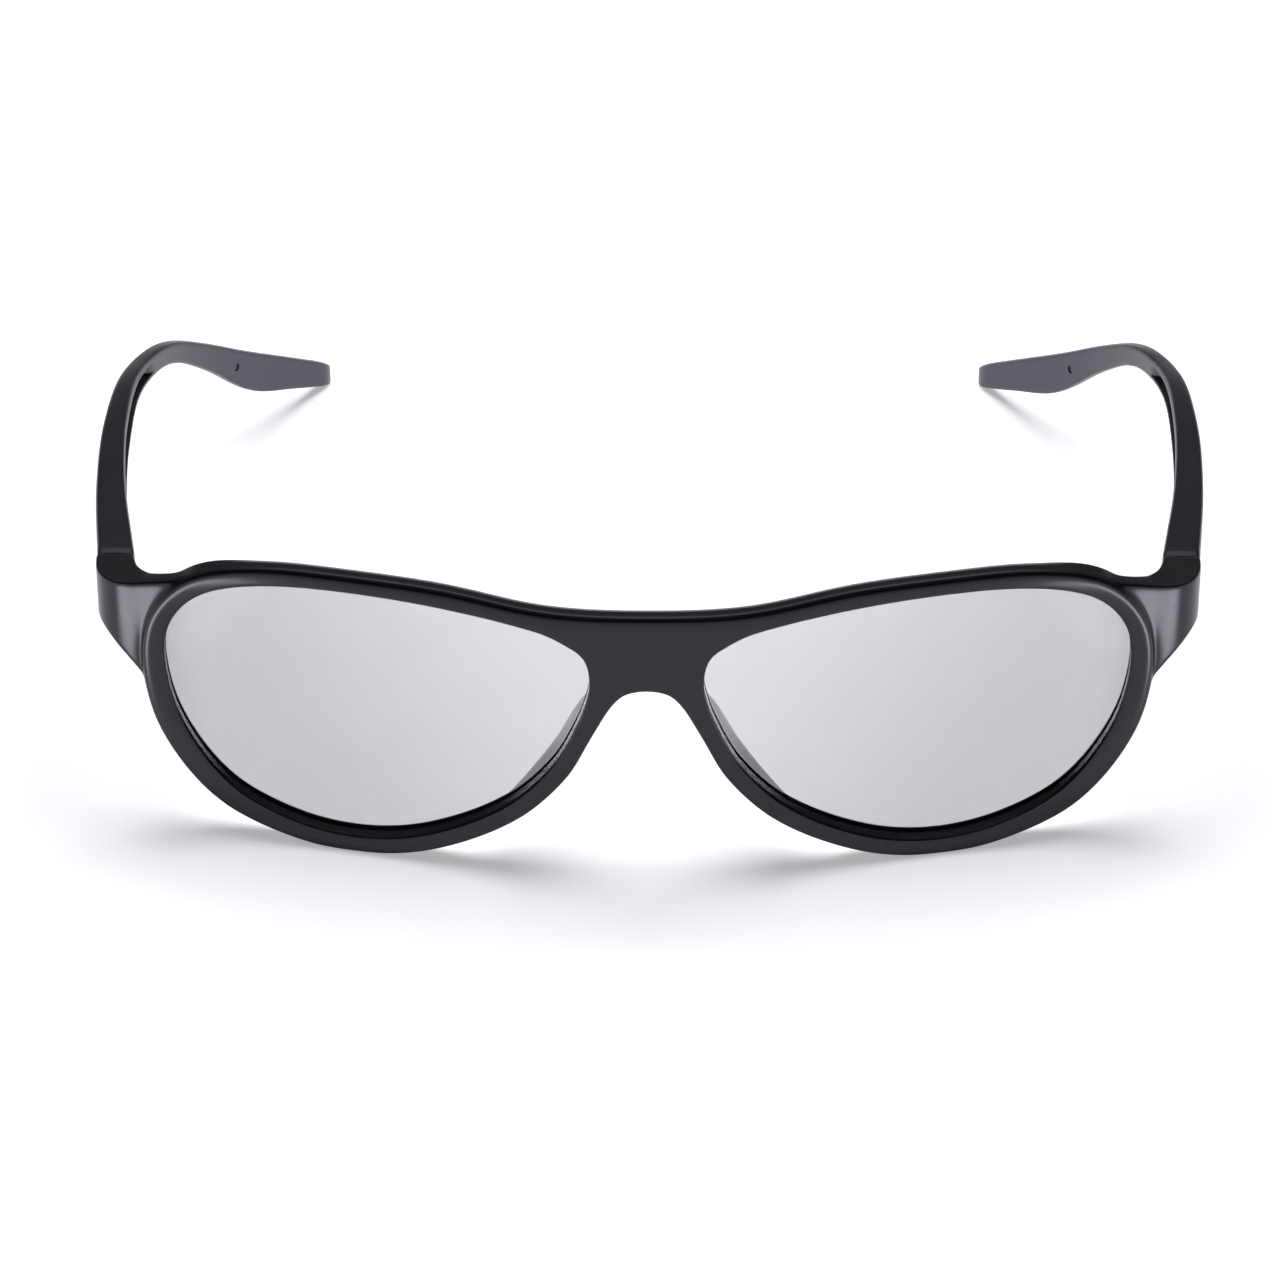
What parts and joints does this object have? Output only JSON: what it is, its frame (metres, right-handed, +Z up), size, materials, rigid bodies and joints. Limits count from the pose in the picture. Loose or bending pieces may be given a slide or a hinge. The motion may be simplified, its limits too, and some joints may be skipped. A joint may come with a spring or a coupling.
{
  "type": "3d glasses",
  "caption": "Wrap-front passive polarised 3D glasses: one-piece front with bridge, rims and nose flanges, laminated lenses in a groove, and folding temples on pinned hinges with curved tips.",
  "frame": {"origin": "on the table, under the middle of the box round the open glasses", "axes": "+Z up, +Y from the front towards the temple tips, +X towards the wearer's left; the front faces -Y"},
  "size_m": [0.1584, 0.1464, 0.0431],
  "materials": {
    "frame_plastic": "polished black moulding",
    "temple_plastic": "polished black moulding",
    "retarder_film": "clear retarder film",
    "polarising_film": "neutral grey polarising film",
    "carrier_sheet": "clear carrier sheet",
    "pin_steel": "plain steel pin"
  },
  "bodies": {
    "front": {"front_frame": "frame_plastic", "left_retarder_film": "retarder_film", "left_polarising_film": "polarising_film", "left_carrier_sheet": "carrier_sheet", "right_retarder_film": "retarder_film", "right_polarising_film": "polarising_film", "right_carrier_sheet": "carrier_sheet", "left_hinge_pin": "pin_steel", "right_hinge_pin": "pin_steel"},
    "left_temple_arm": {"left_temple": "temple_plastic"},
    "right_temple_arm": {"right_temple": "temple_plastic"}
  },
  "joints": [
    {"name": "left_temple_fold", "type": "hinge", "parent": "front", "child": "left_temple_arm", "pos_m": [0.0706, -0.04953, 0.0305], "axis": [0, 0, 1], "range_deg": [0, 82]},
    {"name": "right_temple_fold", "type": "hinge", "parent": "front", "child": "right_temple_arm", "pos_m": [-0.0706, -0.04953, 0.0305], "axis": [0, 0, -1], "range_deg": [0, 76]}
  ]
}
